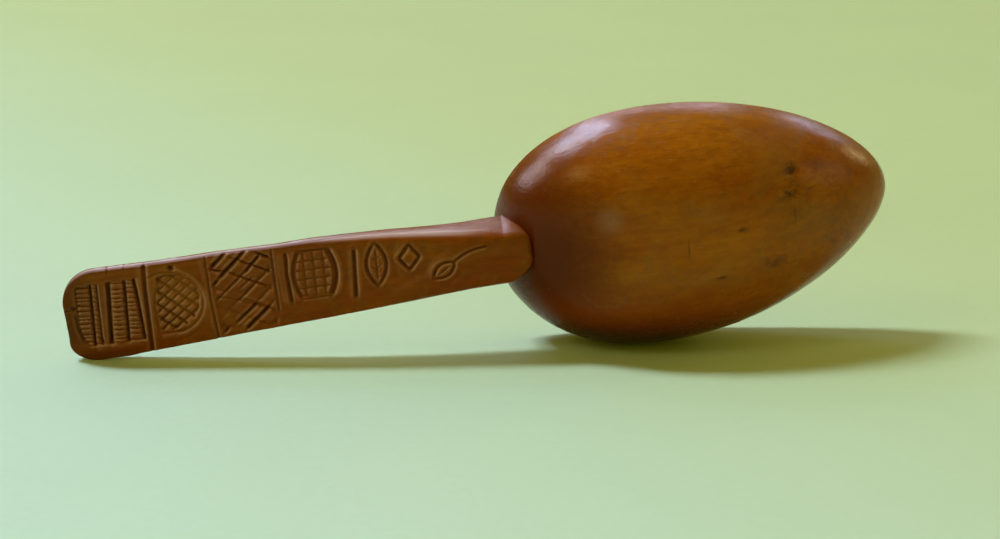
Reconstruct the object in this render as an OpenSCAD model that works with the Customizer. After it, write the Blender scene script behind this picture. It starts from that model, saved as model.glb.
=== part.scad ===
// Carved wooden love spoon, shown standing on one long edge.
//
// Sizes are millimetres. Each piece is drawn in the spoon's own frame and then
// set in its resting pose by rest_pose(): along = from the handle's end to the
// bowl's tip, across = to the left of the carved face, out = from the bowl's rim
// towards its rounded back. In the resting pose +X runs to the tip, +Z is up, and
// the carved face and the bowl's back look towards -Y. The origin is under the
// middle of the spoon's bounding box, on the surface that it stands on.

/* [Overall] */

// Handle's end to the bowl's tip
spoon_length = 180; // [150:5:220]
// How far the spoon rolls towards its carved face as it rests, degrees
rest_roll = 13; // [0:1:18]

/* [Bowl] */

// Length of the bowl, heel to tip
bowl_length = 87.5; // [75:0.5:105]
// Greatest width of the bowl
bowl_width = 54; // [44:1:66]
// Height of the rounded back over the rim
bowl_depth = 23.5; // [18:0.5:30]
// Where the bowl is widest, as a share of its length from the heel
widest_at = 0.408; // [0.34:0.001:0.48]
// How square the plan is at the heel, 2 is an ellipse
heel_fullness = 2.28; // [2:0.01:2.6]
// How full the plan is towards the tip, 2 is an ellipse
tip_fullness = 1.78; // [1.6:0.01:2.2]
// How boxy the bowl's section is at its sides
side_belly = 2.5; // [2:0.05:3]
// How boxy the bowl's section is at the heel
heel_belly = 2; // [1.8:0.05:2.6]
// How boxy the bowl's section is at the tip
tip_belly = 1.8; // [1.7:0.05:2.4]
// Wall at the sides of the rim
rim_wall = 2.6; // [1.8:0.1:3.6]
// Wall at the tip of the rim
tip_wall = 3; // [2:0.1:4.5]
// Wall at the heel, where the handle joins
heel_wall = 6; // [4:0.1:8]
// Wall in the middle of the bowl
floor_wall = 3.6; // [2.4:0.1:5]

/* [Handle] */

// Width of the handle near its outer end
end_width = 21.8; // [16:0.2:25]
// Width of the handle at the shoulder of the bowl
neck_width = 12; // [9:0.2:15]
// How far up the neck lies on the face, above the face's middle line
neck_rise = 0.6; // [0:0.1:1.2]
// Where the upper edge starts to draw in towards the neck, from the outer end
draw_in_from = 52; // [30:1:70]
// Thickness at the outer end
end_thickness = 2.7; // [2.4:0.1:5]
// Thickness at the shoulder
neck_thickness = 10.2; // [7:0.1:11]
// How late along the handle its thickness grows, 1 is a plain wedge
neck_flare = 4.5; // [1:0.5:6]
// Height of the carved face over the rim plane at the outer end
face_height_end = 7; // [5:0.1:10]
// Height of the carved face over the rim plane at the shoulder
face_height_neck = 14.2; // [12:0.1:16]
// How far the handle's rounded tongue laps on to the bowl's back
tongue_lap = 6.5; // [4:0.1:8]
// Radius of the outer end's upper corner
upper_corner = 8; // [5:0.1:8]
// Radius of the outer end's lower corner
lower_corner = 6.5; // [4:0.1:8]
// Rounding of the arrises beside the carved face
face_easing = 0.9; // [0.4:0.1:1.1]
// Rounding of the arrises at the plain reverse
back_easing = 1.2; // [0.4:0.1:1.3]
// Lean of the handle in the plane of its face, degrees
handle_lean = 1.5; // [0:0.1:2.5]
// Offset of the neck from the bowl's middle line
tongue_offset = 1.6; // [0:0.1:2]
// How far the tongue's rounded point lies above the middle of the neck
tongue_lift = 1.4; // [0:0.1:2]

/* [Carving] */

// Width of the finest knife cuts
fine_cut = 0.55; // [0.4:0.05:0.8]
// Width of the bolder cuts
bold_cut = 0.9; // [0.6:0.05:1.2]
// Depth of the finest cuts
fine_depth = 0.3; // [0.2:0.05:0.5]
// Depth of the bolder cuts
bold_depth = 0.45; // [0.3:0.05:0.7]
// Rungs in each ladder column
ladder_rungs = 12; // [8:1:15]
// Spacing of the fine lozenge lattice
fine_lattice = 2.1; // [1.4:0.05:2.6]
// Spacing of the wide lozenge lattice
wide_lattice = 3.1; // [2:0.05:4]

/* [Hidden] */

wood = [0.42, 0.22, 0.07];
dark_wood = [0.35, 0.18, 0.06];

// Facets round the bowl, and rings from its rim to its crown
around = 64;
rings = 15;

heel_at = spoon_length - bowl_length;
centre_at = heel_at + widest_at * bowl_length;
heel_reach = widest_at * bowl_length;
tip_reach = bowl_length - heel_reach;
half_bowl = bowl_width / 2;

tongue_at = heel_at + tongue_lap;
// where the sides of the neck start to round off into the tongue
tongue_start = heel_at + 1;
face_rise = atan2(face_height_neck - face_height_end, tongue_at);
// length of the handle measured along its own sloping face
handle_length = tongue_at / cos(face_rise);
neck_x = tongue_start / cos(face_rise);
end_half = end_width / 2;
neck_half = neck_width / 2;

// The bowl's surface

function signed_pow(x, p) = sign(x) * pow(abs(x), p);
function fullness(a) = cos(a) < 0 ? heel_fullness : tip_fullness;
function belly(a) = side_belly
    + (heel_belly - side_belly) * pow(max(0, -cos(a)), 2)
    + (tip_belly - side_belly) * pow(max(0, cos(a)), 2);

// a point of a dome with the given reach to heel and tip, half width and
// height; a turns round the plan, e climbs from the rim at 0 to the crown at 90
function dome_point(a, e, to_heel, to_tip, half, high) =
    let (n = belly(a), r = pow(cos(e), 2 / n),
         reach = cos(a) < 0 ? to_heel : to_tip)
    [centre_at + r * reach * signed_pow(cos(a), 2 / fullness(a)),
     r * half * signed_pow(sin(a), 2 / fullness(a)),
     high * pow(sin(e), 2 / n)];

function outer_point(a, e) = dome_point(a, e, heel_reach, tip_reach, half_bowl, bowl_depth);
function inner_point(a, e) = dome_point(a, e, heel_reach - heel_wall, tip_reach - tip_wall,
    half_bowl - rim_wall, bowl_depth - floor_wall);

// both surfaces run on below the rim plane, where the rim is cut off flat
rim_trim = 1;
function lowered(p) = [p[0], p[1], -rim_trim];

outer_rings = [for (j = [0 : rings]) for (i = [0 : around - 1])
    let (a = 360 * i / around, e = 90 * (j - 1) / rings)
    j == 0 ? lowered(outer_point(a, 0)) : outer_point(a, e)];
inner_rings = [for (j = [0 : rings]) for (i = [0 : around - 1])
    let (a = 360 * i / around, e = 90 * (j - 1) / rings)
    j == 0 ? lowered(inner_point(a, 0)) : inner_point(a, e)];
crown = [centre_at, 0, bowl_depth];
inner_crown = [centre_at, 0, bowl_depth - floor_wall];

// triangles of a dome whose rings start at index s, with its crown at index c
function dome_faces(s, c) = concat(
    [for (j = [0 : rings - 1]) for (i = [0 : around - 1])
        let (p = s + j * around + i, q = s + j * around + (i + 1) % around)
        each [[p, p + around, q + around], [p, q + around, q]]],
    [for (i = [0 : around - 1])
        let (p = s + rings * around + i, q = s + rings * around + (i + 1) % around)
        [p, c, q]]);
function flipped(faces) = [for (f = faces) [f[0], f[2], f[1]]];

ring_points = (rings + 1) * around;

module shell() {
    polyhedron(
        points = concat(outer_rings, inner_rings, [crown, inner_crown]),
        faces = concat(
            dome_faces(0, 2 * ring_points),
            flipped(dome_faces(ring_points, 2 * ring_points + 1)),
            [for (i = [0 : around - 1]) let (k = (i + 1) % around)
                each [[i, k, ring_points + k], [i, ring_points + k, ring_points + i]]]),
        convexity = 6);
}

module full_dome() {
    polyhedron(
        points = concat(outer_rings, [crown, [centre_at, 0, -rim_trim]]),
        faces = concat(
            dome_faces(0, ring_points),
            [for (i = [0 : around - 1]) [i, (i + 1) % around, ring_points + 1]]),
        convexity = 4);
}

// The handle's blank, in its own frame: x along, y across, z out of the carved
// face, which is the plane z = 0

// the tongue's end is blunt by this much
tongue_round = 0.6;
// how softly the upper edge turns in towards the neck
draw_in_ease = 1.4;

// share of the way from the start of the tongue to its point
function past_neck(x) = max(0, (x - neck_x) / (handle_length + tongue_round - neck_x));
// the edges of the face, each measured outwards from the face's middle line
function upper_edge(x) = let (end = end_half, neck = neck_half + neck_rise)
    x < neck_x
        ? end - (end - neck) * pow(max(0, (x - draw_in_from) / (neck_x - draw_in_from)), draw_in_ease)
        : neck_rise + tongue_lift * past_neck(x) + neck_half * sqrt(max(0, 1 - pow(past_neck(x), 2)));
function lower_edge(x) = let (end = end_half, neck = neck_half - neck_rise)
    x < neck_x
        ? end - (end - neck) * x / neck_x
        : -neck_rise - tongue_lift * past_neck(x) + neck_half * sqrt(max(0, 1 - pow(past_neck(x), 2)));
// what the outer end's rounded corner takes off an edge
function corner_loss(x, r) = x < r ? r - sqrt(r * r - pow(r - x, 2)) : 0;
function upper_side(x) = upper_edge(x) - corner_loss(x, upper_corner);
function lower_side(x) = lower_edge(x) - corner_loss(x, lower_corner);
function thickness(x) = end_thickness
    + (neck_thickness - end_thickness) * pow(min(1, x / neck_x), neck_flare);

corner_steps = 8;
side_steps = 10;
tongue_steps = 7;
longest_corner = max(upper_corner, lower_corner);
stations = concat(
    [for (i = [0 : corner_steps]) longest_corner * (1 - cos(90 * i / corner_steps))],
    [for (i = [1 : side_steps])
        longest_corner + (neck_x - longest_corner) * i / side_steps],
    [for (i = [1 : tongue_steps])
        neck_x + (handle_length - neck_x) * sin(90 * i / tongue_steps)]);

// the section's corner at quarter q (0 upper face, 1 upper back, 2 lower back,
// 3 lower face), rounded in arc_steps
arc_steps = 3;
function corner(up, down, thick, q, easing, t) =
    let (y0 = q < 2 ? up - easing : -down + easing,
         z0 = (q == 0 || q == 3) ? -easing : -thick + easing)
    [y0 + easing * (q < 2 ? 1 : -1) * abs(q == 0 || q == 2 ? sin(90 * t) : cos(90 * t)),
     z0 + easing * ((q == 0 || q == 3) ? 1 : -1) * abs(q == 0 || q == 2 ? cos(90 * t) : sin(90 * t))];
function section(x) =
    let (up = upper_side(x), down = lower_side(x), thick = thickness(x), half = (up + down) / 2,
         small = min(1, 0.35 + x / longest_corner), f = min(face_easing, half / 2) * small,
         b = min(back_easing, half / 2, thick / 3) * small)
    [for (q = [0 : 3]) for (i = [0 : arc_steps])
        let (c = corner(up, down, thick, q, (q == 0 || q == 3) ? f : b, i / arc_steps))
        [x, c[0], c[1]]];
per_section = 4 * (arc_steps + 1);
blank_points = [for (x = stations) each section(x)];
last_section = (len(stations) - 1) * per_section;

module blank() {
    polyhedron(
        points = blank_points,
        faces = concat(
            [[for (k = [per_section - 1 : -1 : 0]) k]],
            [[for (k = [0 : per_section - 1]) last_section + k]],
            [for (j = [0 : len(stations) - 2]) for (k = [0 : per_section - 1])
                let (p = j * per_section + k, q = j * per_section + (k + 1) % per_section)
                each [[p, q, q + per_section], [p, q + per_section, p + per_section]]]),
        convexity = 4);
}

// Knife cuts in the carved face

// The patterns are drawn for a face of this length and half width, and follow
// the face's real size
drawn_length = 99.3;
drawn_half = 10.9;
along_fit = handle_length / drawn_length;
across_fit = end_half / drawn_half;
function spread(p) = [p[0] * along_fit, p[1] * across_fit];

// a straight V cut from a to b
module cut(a, b, wide = fine_cut, deep = fine_depth) {
    start = spread(a);
    d = spread(b) - start;
    translate([start[0], start[1], 0]) rotate([0, 0, atan2(d[1], d[0])]) rotate([90, 0, 90])
        linear_extrude(norm(d)) polygon([[-wide, deep], [0, -deep], [wide, deep]]);
}

// a V cut right across the face, out through both arrises, or through the
// upper one alone
module cross_cut(x, wide = fine_cut, deep = fine_depth, nick = false) {
    up = upper_edge(x * along_fit) / across_fit;
    down = lower_edge(x * along_fit) / across_fit;
    cut([x, nick ? up - 1.5 : -down - 1], [x, up + 1], wide, deep);
}

// a V cut along an arc about c
module arc_cut(c, r, from, sweep, wide = fine_cut, deep = fine_depth) {
    m = spread(c);
    s = r * min(along_fit, across_fit);
    translate([m[0], m[1], 0]) rotate([0, 0, from])
        rotate_extrude(angle = sweep, $fn = 48)
            polygon([[s - wide, deep], [s, -deep], [s + wide, deep]]);
}

// rungs of a ladder between x0 and x1, from y0 to y1
module rungs(x0, x1, y0, y1, count) {
    for (i = [0 : count - 1])
        let (y = y0 + (y1 - y0) * (i + 0.5) / count)
        cut([x0, y], [x1, y]);
}

// cuts at the given slope through a disc, none of them beyond the line x = x0
module hatched_disc(c, r, x0, slope, gap) {
    s = [cos(slope), sin(slope)];
    n = [-sin(slope), cos(slope)];
    count = floor(r / gap);
    for (i = [-count : count])
        let (off = i * gap, half = sqrt(r * r - off * off),
             near = (x0 - c[0] - off * n[0]) / s[0], from = max(-half, min(near, half)))
        if (half - from > gap)
            cut(c + off * n + from * s, c + off * n + half * s);
}

// cuts at the given slope across a rectangle, from its lower or its upper side
module hatched_panel(x0, x1, y0, y1, slope, gap, wide, deep) {
    s = [cos(slope), sin(slope)];
    lean = (y1 - y0) / abs(tan(slope));
    start = slope > 0 ? y0 : y1;
    for (i = [1 : floor((x1 - x0 + lean) / gap)])
        let (x = x0 + i * gap - lean, from = max(0, (x0 - x) / s[0]),
             to = min((x1 - x) / s[0], (y1 - y0) / abs(s[1])))
        if (to - from > gap)
            cut([x, start] + from * s, [x, start] + to * s, wide, deep);
}

module carving() {
    // ladders, with a plain bar between the second and the third
    rungs(3, 5.3, -6, 7.2, ladder_rungs);
    cut([5.9, -7], [5.9, 8], bold_cut, bold_depth);
    rungs(6.3, 7.4, -6.6, 7.2, ladder_rungs);
    cut([9.7, -7.2], [9.7, 8], bold_cut, bold_depth);
    rungs(10.1, 12.8, -6.8, 7.6, ladder_rungs);
    cut([13.2, -7], [13.2, 8], bold_cut, bold_depth);
    rungs(13.6, 15.9, -6.4, 7.6, ladder_rungs);
    cross_cut(16.8);
    cross_cut(17.9, bold_cut, bold_depth);
    cross_cut(10, nick = true);
    cross_cut(13.6, nick = true);

    // an arch filled with small lozenges
    arch = [22.2, 1.3];
    arch_r = 7;
    foot = 19.3;
    cut([foot, arch[1] - arch_r], [foot, arch[1] + arch_r]);
    cut([foot, arch[1] + arch_r], [arch[0], arch[1] + arch_r]);
    cut([foot, arch[1] - arch_r], [arch[0], arch[1] - arch_r]);
    arc_cut(arch, arch_r, -90, 180);
    hatched_disc(arch, arch_r - 0.4, foot + 0.2, 52, fine_lattice);
    hatched_disc(arch, arch_r - 0.4, foot + 0.2, -52, fine_lattice);
    cross_cut(31.2);

    // a wide lattice over nearly the whole width, and the rule that closes it
    hatched_panel(32, 44.2, -7.6, 9.6, 42, wide_lattice, fine_cut, fine_depth);
    hatched_panel(32, 44.2, -7.6, 9.6, -32, wide_lattice, fine_cut, fine_depth);
    cut([45, -6], [45, 10]);

    // an upright barrel with bowed sides, squared off inside
    barrel = [53.4, 3.5];
    cut([47.8, -3], [47.8, 9.3], bold_cut, bold_depth);
    arc_cut([barrel[0] - 4.6, barrel[1]], 9.2, -34, 68, bold_cut, bold_depth);
    arc_cut([barrel[0] + 4.6, barrel[1]], 9.2, 146, 68);
    for (i = [-1 : 1])
        cut([barrel[0] + 1.9 * i, barrel[1] - 4.4], [barrel[0] + 1.9 * i, barrel[1] + 4.4]);
    for (i = [-1.5 : 1.5])
        cut([barrel[0] - 4.2, barrel[1] + 2.1 * i], [barrel[0] + 4.2, barrel[1] + 2.1 * i]);

    // a bar, an upright leaf, a lozenge, and a leaf on a long curved stem
    cut([61.8, -3.6], [61.8, 8.2], bold_cut, bold_depth);
    leaf([66.6, 3.7], 90, 5.2, 2.1);
    cut([66.6, -0.4], [66.6, 7.9]);
    lozenge([73.5, 4.4], 3, 2.1);
    leaf([80.4, 0.2], 35, 2.9, 1.5);
    arc_cut([88.6, -5.6], 9.6, 78, 50, fine_cut * 1.2, fine_depth);
}

// two arcs that cross just short of their ends, in points at the given turn, as
// long as twice reach and as wide as twice wide
module leaf(c, turn, reach, wide) {
    past_point = 4;
    r = (reach * reach + wide * wide) / (2 * wide);
    half = asin(reach / r) + past_point;
    side = (r - wide) * [-sin(turn), cos(turn)];
    arc_cut(c - side, r, turn + 90 - half, 2 * half);
    arc_cut(c + side, r, turn + 270 - half, 2 * half);
}

module lozenge(c, high, wide) {
    cut(c + [0, high], c + [wide, 0]);
    cut(c + [wide, 0], c - [0, high]);
    cut(c - [0, high], c - [wide, 0]);
    cut(c - [wide, 0], c + [0, high]);
}

// The resting pose

// the handle's own frame, set in the spoon's frame
module on_handle() {
    translate([0, tongue_offset - tongue_at * tan(handle_lean), face_height_end])
        rotate([0, -face_rise, 0]) rotate([0, 0, handle_lean]) children();
}

function turn_x(p, t) = [p[0], p[1] * cos(t) - p[2] * sin(t), p[1] * sin(t) + p[2] * cos(t)];
function turn_y(p, t) = [p[0] * cos(t) + p[2] * sin(t), p[1], -p[0] * sin(t) + p[2] * cos(t)];
function turn_z(p, t) = [p[0] * cos(t) - p[1] * sin(t), p[0] * sin(t) + p[1] * cos(t), p[2]];
function placed(p) = turn_y(turn_z(p, handle_lean), -face_rise)
    + [0, tongue_offset - tongue_at * tan(handle_lean), face_height_end];
function rolled(p) = turn_x([p[0], -p[2], p[1]], rest_roll);

bowl_rolled = [for (p = concat(outer_rings, [crown])) if (p[2] >= 0) rolled(p)];
handle_rolled = [for (p = blank_points) rolled(placed(p))];
function lowest(points, pitch) = min([for (p = points) turn_y(p, -pitch)[2]]);
// the pitch at which the handle's corner and the bowl's side both touch the
// surface, found by halving the range between low and high
function level(low, high, steps) =
    let (mid = (low + high) / 2)
    steps == 0 ? mid
    : lowest(bowl_rolled, mid) > lowest(handle_rolled, mid) ? level(low, mid, steps - 1)
    : level(mid, high, steps - 1);
rest_pitch = level(0, 20, 16);

resting = [for (p = concat(bowl_rolled, handle_rolled)) turn_y(p, -rest_pitch)];
min_x = min([for (p = resting) p[0]]);
max_x = max([for (p = resting) p[0]]);
min_y = min([for (p = resting) p[1]]);
max_y = max([for (p = resting) p[1]]);
min_z = min([for (p = resting) p[2]]);

module rest_pose() {
    translate([-(min_x + max_x) / 2, -(min_y + max_y) / 2, -min_z])
        rotate([0, -rest_pitch, 0]) rotate([rest_roll, 0, 0]) rotate([90, 0, 0]) children();
}

// The pieces

module bowl() {
    color(wood) rest_pose() difference() {
        shell();
        translate([heel_at - 5, -half_bowl - 5, -rim_trim - 2])
            cube([bowl_length + 10, bowl_width + 10, rim_trim + 2]);
    }
}

module handle() {
    color(dark_wood) rest_pose() difference() {
        on_handle() difference() {
            blank();
            carving();
        }
        full_dome();
    }
}

bowl();
handle();
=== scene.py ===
from math import cos, hypot, pi, radians, sin

import bpy
import numpy as np
from mathutils import Euler, Matrix, Vector, noise


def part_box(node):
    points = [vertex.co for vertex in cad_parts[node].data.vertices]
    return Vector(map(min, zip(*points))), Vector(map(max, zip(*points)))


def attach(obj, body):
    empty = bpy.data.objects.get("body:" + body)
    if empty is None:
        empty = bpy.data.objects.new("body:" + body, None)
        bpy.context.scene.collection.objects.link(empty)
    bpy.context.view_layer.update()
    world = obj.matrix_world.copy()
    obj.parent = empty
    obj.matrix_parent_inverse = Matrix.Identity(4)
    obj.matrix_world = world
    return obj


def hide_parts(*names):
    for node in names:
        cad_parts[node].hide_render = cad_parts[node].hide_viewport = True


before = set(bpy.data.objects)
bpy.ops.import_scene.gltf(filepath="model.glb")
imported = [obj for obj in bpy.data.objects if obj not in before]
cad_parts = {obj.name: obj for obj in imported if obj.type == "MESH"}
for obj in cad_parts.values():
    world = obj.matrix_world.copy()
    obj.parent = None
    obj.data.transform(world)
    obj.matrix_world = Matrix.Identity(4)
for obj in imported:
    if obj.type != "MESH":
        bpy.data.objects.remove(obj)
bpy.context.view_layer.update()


# The camera
# It stands half a metre off on the carved side, a little above the spoon and to the left of
# its middle, with a longish lens, as the photograph does.

camera_place = Vector((-0.05312, -0.42053, 0.13905))
looks_at = Vector((0.004355, 0.01107, 0.01577))
camera_tilt = radians(0.581)

camera_data = bpy.data.cameras.new("camera")
camera_data.lens = 74.44
camera_data.sensor_width = 36
camera = bpy.data.objects.new("camera", camera_data)
bpy.context.scene.collection.objects.link(camera)
camera.matrix_world = (
    Matrix.Translation(camera_place)
    @ (camera_place - looks_at).to_track_quat("Z", "Y").to_matrix().to_4x4()
    @ Matrix.Rotation(camera_tilt, 4, "Z")
)
bpy.context.scene.camera = camera


# The tabletop
# A plain sheet of pale green card or painted board, satin, that runs on past the camera's
# view. Its tone drifts from a cooler, brighter green on the left to a yellower one on the right:
# this drift is painted light, as if the bluish window lit the left more strongly.

table_reach = 6.0
cool_green_painted_lit = (0.525, 0.76, 0.60, 1)
warm_green_painted_dim = (0.485, 0.61, 0.265, 1)
cloud_green = (0.30, 0.42, 0.20, 1)
tooth_green = (0.40, 0.50, 0.22, 1)
tone_runs_from = -0.25
tone_runs_to = 0.20


def feed(tree, socket, value):
    """Gives an input socket its value: another node's output to link, or a plain number or colour."""
    if isinstance(value, bpy.types.NodeSocket):
        tree.links.new(value, socket)
    else:
        socket.default_value = value


def add(tree, kind, *inputs, **settings):
    """A new shader node with its settings, and its inputs fed in order or by their names."""
    node = tree.nodes.new("ShaderNode" + kind)
    for key, value in settings.items():
        if hasattr(node, key):
            setattr(node, key, value)
        else:
            feed(tree, node.inputs[key.replace("_", " ")], value)
    for socket, value in zip(node.inputs, inputs):
        feed(tree, socket, value)
    return node


def new_material(name):
    """A material with an empty surface shader; gives back the material, its tree and the shader."""
    material = bpy.data.materials.new(name)
    material.use_nodes = True
    tree = material.node_tree
    return material, tree, tree.nodes["Principled BSDF"]


def colour_mix(tree, share, low, high):
    """Mixes two colours, each a socket or a plain colour, by a share that is a socket or a number."""
    node = add(tree, "Mix", data_type="RGBA")
    for socket, value in ((node.inputs[0], share), (node.inputs[6], low), (node.inputs[7], high)):
        feed(tree, socket, value)
    return node.outputs[2]


def rescale(tree, value, low, high, to_low=0.0, to_high=1.0):
    """Spreads a value between low and high over the range to_low to to_high, smoothly."""
    node = add(tree, "MapRange", value, low, high, to_low, to_high, interpolation_type="SMOOTHSTEP")
    return node.outputs[0]


table_mesh = bpy.data.meshes.new("tabletop")
table_mesh.from_pydata(
    [(x * table_reach, y * table_reach, 0) for x, y in ((-1, -1), (1, -1), (1, 1), (-1, 1))],
    [],
    [(0, 1, 2, 3)],
)
tabletop = bpy.data.objects.new("tabletop", table_mesh)
bpy.context.scene.collection.objects.link(tabletop)

table_material, tree, shader = new_material("pale_green_board")
on_table = add(tree, "TexCoord").outputs["Object"]
toward_far_right = add(tree, "VectorMath", on_table, (0.85, 0.53, 0), operation="DOT_PRODUCT")
painted_light_drift = rescale(tree, toward_far_right.outputs["Value"], tone_runs_from, tone_runs_to)
mottle = add(tree, "TexNoise", on_table, Scale=14, Detail=3)
# painted light: the board is brighter and bluer on the left, dimmer and yellower on the right
tone_with_painted_light = colour_mix(tree, painted_light_drift, cool_green_painted_lit, warm_green_painted_dim)
cloud_share = rescale(tree, mottle.outputs[0], 0.3, 0.7, 0, 0.06)
clouded = colour_mix(tree, cloud_share, tone_with_painted_light, cloud_green)
tooth = add(tree, "TexNoise", on_table, Scale=420, Detail=2)
tooth_share = rescale(tree, tooth.outputs[0], 0.35, 0.65, 0, 0.05)
tone = colour_mix(tree, tooth_share, clouded, tooth_green)
tree.links.new(tone, shader.inputs["Base Color"])
shader.inputs["Roughness"].default_value = 0.75
shader.inputs["Specular IOR Level"].default_value = 0.1
table_mesh.materials.append(table_material)


# The light
# A broad soft window high on the left throws the shadow. The sky round it shows only as the
# sheen along the upper edges. A yellowish room, stronger low down, fills the shadows.

room_light_low = (0.63, 0.47, 0.035, 1)
room_light_high = (0.24, 0.19, 0.03, 1)
room_seen = (0.30, 0.28, 0.04, 1)
lamp_distance = 3.0

# what each lamp does, its name, direction from the spoon, width, height, power and colour
lamps = [
    ("light", "window_lamp", (-0.46, 0.12, 0.88), 0.46, 1.00, 86, (0.64, 0.73, 1.0)),
    ("light", "sky_lamp", (-0.35, 0.49, 0.80), 1.20, 0.60, 8, (0.45, 0.53, 1.0)),
    ("sheen", "high_sky_lamp", (-0.35, 0.49, 0.80), 1.50, 0.70, 225, (0.44, 0.56, 1.0)),
    ("sheen", "upper_left_sky_lamp", (-0.60, 0.43, 0.67), 0.70, 0.70, 13, (0.60, 0.64, 1.0)),
    ("sheen", "left_sky_lamp", (-0.80, 0.32, 0.48), 1.30, 1.20, 60, (0.66, 0.68, 1.0)),
    ("sheen", "low_sky_lamp", (0.10, 0.75, 0.65), 1.60, 0.36, 14, (0.62, 0.68, 1.0)),
    ("sheen", "right_sky_lamp", (0.60, 0.60, 0.52), 1.00, 0.60, 11, (0.50, 0.64, 1.0)),
    ("sheen", "far_right_lamp", (0.89, -0.30, 0.32), 1.20, 1.00, 4, (1.0, 0.78, 0.75)),
    ("both", "right_lamp", (0.85, 0.38, 0.36), 0.60, 0.50, 8, (1.0, 0.78, 0.4)),
    ("both", "front_lamp", (-0.64, -0.38, 0.67), 0.80, 0.80, 9, (1.0, 0.82, 0.55)),
]
for role, name, toward, width, height, power, colour in lamps:
    data = bpy.data.lights.new(name, "AREA")
    data.shape = "RECTANGLE"
    data.size = width
    data.size_y = height
    data.energy = power
    data.color = colour
    lamp = bpy.data.objects.new(name, data)
    bpy.context.scene.collection.objects.link(lamp)
    direction = Vector(toward).normalized()
    lamp.location = direction * lamp_distance
    lamp.rotation_euler = direction.to_track_quat("Z", "Y").to_euler()
    lamp.visible_glossy = role != "light"
    lamp.visible_diffuse = role != "sheen"

world = bpy.data.worlds.new("room")
bpy.context.scene.world = world
world.use_nodes = True
tree = world.node_tree
path = add(tree, "LightPath")
by_eye, by_gloss = path.outputs["Is Camera Ray"], path.outputs["Is Glossy Ray"]
seen = add(tree, "Math", by_eye, by_gloss, operation="MAXIMUM").outputs[0]
seen_or_glass = add(tree, "Math", seen, path.outputs["Is Transmission Ray"], operation="MAXIMUM")
toward_room = add(tree, "TexCoord").outputs["Generated"]
height_in_room = add(tree, "SeparateXYZ", toward_room)
up_the_walls = rescale(tree, height_in_room.outputs["Z"], 0.15, 0.85)
room_light = colour_mix(tree, up_the_walls, room_light_low, room_light_high)
room = colour_mix(tree, seen_or_glass.outputs[0], room_light, room_seen)
tree.links.new(room, tree.nodes["Background"].inputs["Color"])


# The bowl
# A deep pointed oval, hollowed and pared with a knife from the same billet as the handle, in a
# dense orange-brown fruitwood that was waxed and handled until it took a soft sheen. It is
# closed all round: rounded back, flat rim with eased edges, and a hollow with shallow gouge cuts.

MM = 0.001

# the spoon as carved: along from the handle's end to the tip, across, and out from the rim's
# plane towards the rounded back, in millimetres
centre_at = 128.2
to_heel, to_tip = 35.7, 51.8
half_bowl, bowl_depth = 27.0, 23.5
heel_wall, tip_wall, rim_wall, floor_wall = 6.0, 3.0, 2.6, 3.6
heel_fullness, tip_fullness = 2.28, 1.78
side_belly, heel_belly, tip_belly, crown_belly = 2.5, 2.0, 1.8, 2.15
rim_easing = 0.6

# the pose in which it rests on its long edge
rest_turn = Euler((radians(90 + 13), radians(-7.1843), 0))
turn = np.array(rest_turn.to_matrix())


def signed_power(value, power):
    return np.sign(value) * np.abs(value) ** power


def dome(angle, climb, heel, tip, half, high):
    """Points of a dome: angle turns round the plan, climb goes from the rim at 0 to the crown at 1."""
    c, s = np.cos(angle), np.sin(angle)
    rise = np.sin(climb * pi / 2)
    full = np.where(c < 0, heel_fullness, tip_fullness)
    belly = (
        side_belly
        + (heel_belly - side_belly) * np.maximum(0, -c) ** 2
        + (tip_belly - side_belly) * np.maximum(0, c) ** 2
    )
    belly = belly + (crown_belly - belly) * rise**8
    inset = np.maximum(0, 1 - rise**belly) ** (1 / belly)
    x = centre_at + inset * np.where(c < 0, heel, tip) * signed_power(c, 2 / full)
    y = inset * half * signed_power(s, 2 / full)
    return np.stack([x, y, high * rise * np.ones_like(x)], axis=-1)


def inward(points, heel, tip, half, high):
    """Unit vectors from a dome's surface towards its inside."""
    offset = points - [centre_at, 0, 0]
    reach = np.where(offset[..., :1] < 0, heel, tip)
    slope = -np.concatenate(
        [offset[..., :1] / reach**2, offset[..., 1:2] / half**2, offset[..., 2:] / high**2], axis=-1
    )
    return slope / np.linalg.norm(slope, axis=-1, keepdims=True)


def unevenness(points, wavelength, seed):
    """Smooth noise between about -1 and 1 at each point, for a surface cut by hand."""
    flat = points.reshape(-1, 3) / wavelength + seed
    values = [noise.noise(Vector(p)) for p in flat]
    return np.array(values).reshape(points.shape[:-1])


def hollow_at(points, centre, reach):
    """A soft round dimple of the given reach, 1 at its centre and 0 well away from it."""
    away = np.linalg.norm(points - np.array(centre), axis=-1) / reach
    return np.exp(-(away**2))


bowl_around = 320
back_rings = 132
hollow_rings = 96

angles = np.linspace(0, 2 * pi, bowl_around, endpoint=False)
outer_size = (to_heel, to_tip, half_bowl, bowl_depth)
inner_size = (to_heel - heel_wall, to_tip - tip_wall, half_bowl - rim_wall, bowl_depth - floor_wall)

back_climb = (np.linspace(0, 1, back_rings, endpoint=False) ** 1.5)[:, None]
back = dome(angles[None, :], back_climb, *outer_size)
hollow_climb = (np.linspace(0, 1, hollow_rings, endpoint=False) ** 1.3)[:, None]
hollow = dome(angles[None, :], hollow_climb, *inner_size)

# where the CAD bowl lies says where the spoon's own frame starts
placed = back @ turn.T * MM
stance = np.array(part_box("bowl")[0]) - placed.reshape(-1, 3).min(axis=0)


def at_rest(points):
    """From the spoon's own frame in millimetres to the resting pose in metres."""
    return np.asarray(points) @ turn.T * MM + stance


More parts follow.
